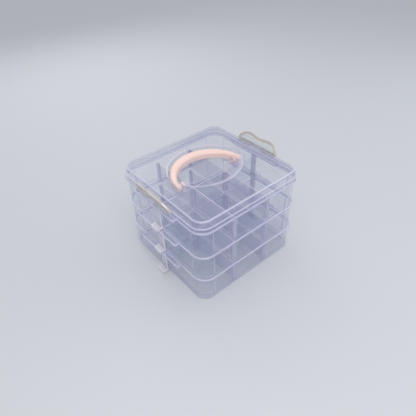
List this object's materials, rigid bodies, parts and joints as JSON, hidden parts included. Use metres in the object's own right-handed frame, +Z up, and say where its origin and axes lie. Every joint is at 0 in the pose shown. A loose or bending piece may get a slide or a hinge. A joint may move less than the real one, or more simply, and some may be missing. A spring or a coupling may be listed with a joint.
{
  "type": "embroidery thread box",
  "caption": "Square stacking storage box of clear plastic with compartment trays, side clips and a lid with latches and a folding carrying handle.",
  "frame": {"origin": "middle of the bottom tray's base, on the surface it rests on", "axes": "+Z up through the stack, +X to the right latch, -Y to the front, where the ends of two cross walls face; the handle is folded towards +Y"},
  "size_m": [0.1734, 0.155, 0.1282],
  "materials": {
    "tray_plastic": "clear bluish moulded plastic, gloss",
    "divider_plastic": "clear bluish moulded plastic, gloss",
    "lid_plastic": "clear bluish moulded plastic, gloss",
    "clip_plastic": "clear bluish moulded plastic, gloss",
    "handle_plastic": "cream moulded plastic, satin gloss",
    "latch_plastic": "translucent cream moulded plastic, gloss"
  },
  "bodies": {
    "tray_bottom": {"tray_bottom": "tray_plastic", "divider_bottom_left_front": "divider_plastic", "divider_bottom_left_rear": "divider_plastic", "divider_bottom_right_front": "divider_plastic", "divider_bottom_right_rear": "divider_plastic"},
    "tray_middle": {"tray_middle": "tray_plastic", "divider_middle_left_front": "divider_plastic", "divider_middle_left_rear": "divider_plastic", "divider_middle_right_front": "divider_plastic", "divider_middle_right_rear": "divider_plastic"},
    "tray_top": {"tray_top": "tray_plastic", "divider_top_left_front": "divider_plastic", "divider_top_left_rear": "divider_plastic", "divider_top_right_front": "divider_plastic", "divider_top_right_rear": "divider_plastic"},
    "lid": {"lid": "lid_plastic"},
    "handle": {"handle": "handle_plastic"},
    "latch_left": {"latch_left": "latch_plastic"},
    "latch_right": {"latch_right": "latch_plastic"},
    "clip_bottom_left": {"clip_bottom_left": "clip_plastic"},
    "clip_bottom_right": {"clip_bottom_right": "clip_plastic"},
    "clip_middle_left": {"clip_middle_left": "clip_plastic"},
    "clip_middle_right": {"clip_middle_right": "clip_plastic"},
    "clip_top_left": {"clip_top_left": "clip_plastic"},
    "clip_top_right": {"clip_top_right": "clip_plastic"}
  },
  "joints": [
    {"name": "middle_lift", "type": "slide", "parent": "tray_bottom", "child": "tray_middle", "axis": [0, 0, 1], "range_m": [0, 0.06]},
    {"name": "top_lift", "type": "slide", "parent": "tray_middle", "child": "tray_top", "axis": [0, 0, 1], "range_m": [0, 0.06]},
    {"name": "lid_lift", "type": "slide", "parent": "tray_top", "child": "lid", "axis": [0, 0, 1], "range_m": [0, 0.06]},
    {"name": "handle_swing", "type": "hinge", "parent": "lid", "child": "handle", "pos_m": [0, 0, 0.1127], "axis": [1, 0, 0], "range_deg": [0, 105]},
    {"name": "latch_left_swing", "type": "hinge", "parent": "lid", "child": "latch_left", "pos_m": [-0.082, 0, 0.114], "axis": [0, -1, 0], "range_deg": [-25, 157]},
    {"name": "latch_right_swing", "type": "hinge", "parent": "lid", "child": "latch_right", "pos_m": [0.082, 0, 0.114], "axis": [0, 1, 0], "range_deg": [-25, 157]},
    {"name": "clip_bottom_left_flex", "type": "hinge", "parent": "tray_bottom", "child": "clip_bottom_left", "pos_m": [-0.0757, 0, 0.0332], "axis": [0, 1, 0], "range_deg": [0, 7], "stiffness_Nm_per_rad": 0.1},
    {"name": "clip_bottom_right_flex", "type": "hinge", "parent": "tray_bottom", "child": "clip_bottom_right", "pos_m": [0.0757, 0, 0.0332], "axis": [0, -1, 0], "range_deg": [0, 7], "stiffness_Nm_per_rad": 0.1},
    {"name": "clip_middle_left_flex", "type": "hinge", "parent": "tray_middle", "child": "clip_middle_left", "pos_m": [-0.0757, 0, 0.0687], "axis": [0, 1, 0], "range_deg": [0, 7], "stiffness_Nm_per_rad": 0.1},
    {"name": "clip_middle_right_flex", "type": "hinge", "parent": "tray_middle", "child": "clip_middle_right", "pos_m": [0.0757, 0, 0.0687], "axis": [0, -1, 0], "range_deg": [0, 7], "stiffness_Nm_per_rad": 0.1},
    {"name": "clip_top_left_flex", "type": "hinge", "parent": "tray_top", "child": "clip_top_left", "pos_m": [-0.0757, 0, 0.1042], "axis": [0, 1, 0], "range_deg": [0, 7], "stiffness_Nm_per_rad": 0.1},
    {"name": "clip_top_right_flex", "type": "hinge", "parent": "tray_top", "child": "clip_top_right", "pos_m": [0.0757, 0, 0.1042], "axis": [0, -1, 0], "range_deg": [0, 7], "stiffness_Nm_per_rad": 0.1}
  ]
}
